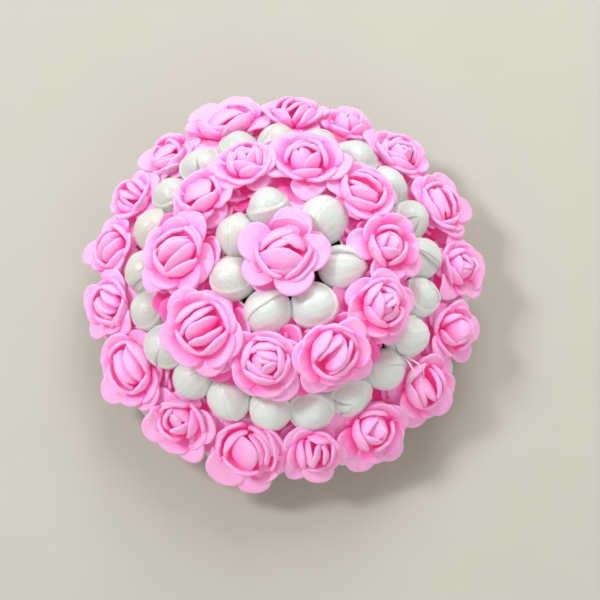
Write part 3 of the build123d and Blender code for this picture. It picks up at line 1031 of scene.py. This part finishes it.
grain, given, grain_out = new_group(
    "fine_grain",
    [("Scale", "NodeSocketFloat", 400.0), ("Detail", "NodeSocketFloat", 3.0),
     ("Stretch", "NodeSocketVector", (1, 1, 1))],
    ["Height", "Tone"],
)
place = add_node(grain, "TexCoord").outputs["Object"]
stretched = calculated(grain, "MULTIPLY", place, given["Stretch"], kind=VECTORS)
broad_scale = calculated(grain, "MULTIPLY", given["Scale"], BROAD_GRAIN)
fine = add_node(grain, "TexNoise", {
    "Vector": stretched, "Scale": given["Scale"], "Detail": given["Detail"],
})
broad = add_node(grain, "TexNoise", {"Vector": place, "Scale": broad_scale})
plug(grain_out, {"Height": fine.outputs["Fac"], "Tone": broad.outputs["Fac"]})
print("grain nodes:", len(grain.nodes))

# %% Shared weave
weave, given, weave_out = new_group(
    "plain_weave",
    [("Place", "NodeSocketVector", (0, 0, 0)), ("Density", "NodeSocketFloat", 6.0)],
    ["Height"],
)
dense = calculated(weave, "MULTIPLY", given["Place"], given["Density"], kind=VECTORS)
parts = add_node(weave, "SeparateXYZ", {0: dense}).outputs
warp, weft = (calculated(weave, "SINE", parts[axis]) for axis in "XY")
crossing = calculated(weave, "MULTIPLY", warp, weft)
plug(weave_out, {"Height": calculated(weave, "MULTIPLY_ADD", crossing, 0.5, 0.5)})
print("weave nodes:", len(weave.nodes))


# %% Helpers for the materials
def new_material(name):
    """An empty material with its node tree and its surface shader."""
    material = bpy.data.materials.new(name)
    material.use_nodes = True
    tree = material.node_tree
    return material, tree, tree.nodes["Principled BSDF"]


def use_group(tree, group, **values):
    """The outputs of a shared group, placed in a material with this material's values."""
    return add_node(tree, "Group", values, node_tree=group).outputs


def point_value(tree, name, output="Fac"):
    """A value that every point of a mesh carries."""
    return add_node(tree, "Attribute", attribute_name=name).outputs[output]


def bump(tree, height, strength, depth, normal=None):
    """A normal with bumps of a depth in millimetres, on top of another normal if given."""
    inputs = {"Height": height, "Strength": strength, "Distance": depth * MM}
    if normal is not None:
        inputs["Normal"] = normal
    return add_node(tree, "Bump", inputs).outputs["Normal"]


def colour_ramp(tree, factor, stops):
    """The colour of a ramp of (place, colour) stops."""
    ramp = add_node(tree, "ValToRGB", {"Fac": factor})
    elements = ramp.color_ramp.elements
    while len(elements) < len(stops):
        elements.new(0.5)
    for element, (position, colour) in zip(elements, stops):
        element.position = position
        element.color = (*colour, 1)
    return ramp.outputs["Color"]


# %% [markdown]
# ## Pink foam
#
# The foam lets light sink in and come out again, which makes its shadows warm and deep pink
# instead of grey. Its colour runs from hot pink deep between the petals to pale pink at the
# tips: this is painted shade, with a little mottle of the foam's own. Light that bounces many
# times between pink petals would take long to compute, so a very weak pink glow stands in for
# it. The surface has the dull, fine grain of closed foam.

# %% Foam material
MOTTLE = 0.2

foam, tree, shader = new_material("rose_foam")
# Painted shade: the base colour runs from hot pink deep between the petals to pale pink at the
# tips, with a little random mottle on top.
shade_tone = point_value(tree, "petal_tone")
foam_grain = use_group(tree, grain, Scale=1500.0)
mottle_and_shade = calculated(tree, "MULTIPLY_ADD", foam_grain["Tone"], MOTTLE, shade_tone)
plug(shader, {
    "Base Color": colour_ramp(tree, mottle_and_shade, [
        (0.1, (0.97, 0.08, 0.42)), (0.5, (0.99, 0.27, 0.65)), (0.9, (1.0, 0.44, 0.78)),
        (1.0, (1.0, 0.48, 0.81)),
    ]),
    "Normal": bump(tree, foam_grain["Height"], 0.5, 0.25),
    "Roughness": 0.72,
    "Specular IOR Level": 0.15,
    "Subsurface Weight": 0.3,
    "Subsurface Radius": (1.0, 0.3, 0.55),
    "Subsurface Scale": 1.2 * MM,
    "Sheen Weight": 0.15,
    "Emission Color": colour_ramp(tree, shade_tone, [
        (0.0, (1.0, 0.10, 0.46)), (0.5, (0.80, 0.12, 0.42)), (1.0, (0.50, 0.10, 0.30)),
    ]),
    "Emission Strength": 0.09,
})
print("foam nodes:", len(tree.nodes))

# %% [markdown]
# ## White satin
#
# The buds' satin is a little pearly: soft, broad highlights and a cool white, with cream on
# some buds and some a little whiter than others. The buds towards the near and right sides are
# painted whiter, as painted light, and a weak white glow on every bud, also painted light, lifts
# their shaded sides. Fine gathers run from each bud's tip to its tail, and painted shade makes
# the folds and the line under each cup's rim a little darker and greyer.

# %% Satin material
# Painted shade: folds and the line under a cup's rim are mixed towards this darker grey.
FOLD_SHADE_COLOUR = (0.58, 0.57, 0.525, 1)

satin, tree, shader = new_material("bud_satin")
tint = colour_ramp(tree, point_value(tree, "tint"), [
    (0.0, (0.575, 0.635, 0.62)), (0.45, (0.60, 0.635, 0.605)), (0.9, (0.64, 0.625, 0.54)),
])
fold_shaded = add_node(
    tree, "Mix", {"Factor": point_value(tree, "fold"), "A": tint, "B": FOLD_SHADE_COLOUR},
    data_type="RGBA",
)
# Painted light: brighter on the buds towards the near and right sides, with a small random
# whiteness of each bud.
whiteness = point_value(tree, "whiteness")
pleats = add_node(tree, "TexNoise", {
    "Vector": point_value(tree, "gathers", "Vector"), "Scale": 3.4, "Detail": 3.0,
})
satin_grain = use_group(tree, grain, Scale=1200.0, Detail=4.0)
pleated = bump(tree, pleats.outputs["Fac"], 0.7, 0.7)
plug(shader, {
    "Base Color": calculated(
        tree, "MULTIPLY", fold_shaded.outputs["Result"], whiteness, kind=VECTORS
    ),
    "Normal": bump(tree, satin_grain["Height"], 0.3, 0.12, pleated),
    "Roughness": 0.36,
    "Specular IOR Level": 0.6,
    "Sheen Weight": 0.15,
    "Subsurface Weight": 0.5,
    "Subsurface Radius": (1.0, 0.9, 0.8),
    "Subsurface Scale": 2.5 * MM,
    # A weak white glow, painted light that lifts the shaded sides of the buds.
    "Emission Color": (0.95, 1.0, 0.97, 1),
    "Emission Strength": 0.075,
})
print("satin nodes:", len(tree.nodes))

# %% [markdown]
# ## Black cloth and white thread
#
# The cap is matt black cloth with a plain weave. Its flat place on the mesh steers the
# weave, so the threads run straight over the crown and slant at the sides, as in cloth that
# is stretched over a form. The sewing thread is off-white and slightly uneven.

# %% Cloth and thread materials
cloth, tree, shader = new_material("cap_cloth")
cloth_weave = use_group(
    tree, weave, Place=point_value(tree, "cloth_place", "Vector"), Density=9.0
)
cloth_grain = use_group(tree, grain, Scale=300.0)
plug(shader, {
    "Base Color": colour_ramp(tree, cloth_grain["Tone"], [
        (0.35, (0.010, 0.009, 0.011)), (0.65, (0.026, 0.022, 0.026)),
    ]),
    "Normal": bump(tree, cloth_weave["Height"], 0.7, 0.2),
    "Roughness": 0.85,
    "Sheen Weight": 0.3,
})

thread, tree, shader = new_material("sewing_thread")
thread_grain = use_group(tree, grain, Scale=3500.0, Detail=2.0, Stretch=(1, 1, 0.3))
plug(shader, {
    "Base Color": colour_ramp(tree, thread_grain["Height"], [
        (0.3, (0.62, 0.60, 0.56)), (0.7, (0.82, 0.80, 0.76)),
    ]),
    "Roughness": 0.55,
    "Sheen Weight": 0.4,
})
print("materials:", [material.name for material in (foam, satin, cloth, thread)])

# %% [markdown]
# ## Telling the frame which piece is which
#
# Each new piece rides on the one body of this part and stands for its plain solid, which is
# hidden. The cap's cloth was about 124 mm square before it was cut round and sewn.

# %% Dress the frame
for name, made in rose_objects.items():
    made.data.materials.append(foam)
    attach(made, "root")
    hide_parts(name)
for name, made in bud_objects.items():
    made.data.materials.append(satin)
    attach(made, "root")
    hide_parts(name)
for name, made in thread_objects.items():
    made.data.materials.append(thread)
    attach(made, "root")
    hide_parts(name)
stitch_object.data.materials.append(thread)
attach(stitch_object, "root")
cap_object.data.materials.append(cloth)
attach(cap_object, "root")
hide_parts("cloth_cap")
print("pieces dressed:", len(rose_objects) + len(bud_objects) + len(thread_objects) + 2)

# %% [markdown]
# ## The table
#
# The garland lies on a pale, matt board. The board is one large plane with a very fine grain.
# It is no part of the object.

# %% Table
HALF_TABLE = 3.0
BELOW_PART = -0.0001

table_mesh = bpy.data.meshes.new("table")
corners = ((-1, -1), (1, -1), (1, 1), (-1, 1))
table_mesh.from_pydata(
    [(x * HALF_TABLE, y * HALF_TABLE, BELOW_PART) for x, y in corners], [], [(0, 1, 2, 3)]
)
table = add_object("table", table_mesh)
board, tree, shader = new_material("pale_board")
board_grain = use_group(tree, grain, Scale=500.0, Detail=4.0)
plug(shader, {
    "Base Color": colour_ramp(tree, board_grain["Tone"], [
        (0.3, (0.482, 0.477, 0.423)), (0.7, (0.492, 0.487, 0.432)),
    ]),
    "Normal": bump(tree, board_grain["Height"], 0.15, 0.1),
    "Roughness": 0.8,
})
table_mesh.materials.append(board)
print("table:", 2 * HALF_TABLE, "m wide")

# %% [markdown]
# ## Lighting the garland
#
# A bright room gives warm, even light. A window far off at the left throws a shadow to the
# right, and a lamp beyond the garland makes the far side of the table a little brighter than
# the near side. A weak lamp on the near side keeps the buds there white.

# %% Light
scene = bpy.context.scene
scene.view_settings.view_transform = "Standard"
world = bpy.data.worlds.new("bright_room")
world.use_nodes = True
plug(world.node_tree.nodes["Background"], {"Color": (1.0, 0.945, 0.885, 1), "Strength": 0.53})
scene.world = world


def soft_light(name, place, size, power, colour):
    """A square soft box that faces the garland."""
    data = bpy.data.lights.new(name, "AREA")
    data.shape = "SQUARE"
    data.size = size
    data.energy = power
    data.color = colour
    lamp = add_object(name, data)
    lamp.location = place
    lamp.rotation_euler = (-Vector(place)).to_track_quat("-Z", "Y").to_euler()


soft_light("window", (-1.12, 0.42, 1.42), 0.36, 17.7, (0.965, 1.0, 1.02))
soft_light("near_lamp", (0.35, -0.95, 0.7), 0.6, 2.0, (1.0, 0.975, 0.94))
soft_light("ceiling_lamp", (0.12, 0.55, 0.5), 0.4, 3.3, (0.99, 1.0, 0.985))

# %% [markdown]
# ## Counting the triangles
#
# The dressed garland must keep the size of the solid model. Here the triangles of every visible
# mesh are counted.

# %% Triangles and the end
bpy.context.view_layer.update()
visible = [o for o in bpy.context.scene.objects if o.type == "MESH" and not o.hide_render]
print("triangles:", triangles(*visible))
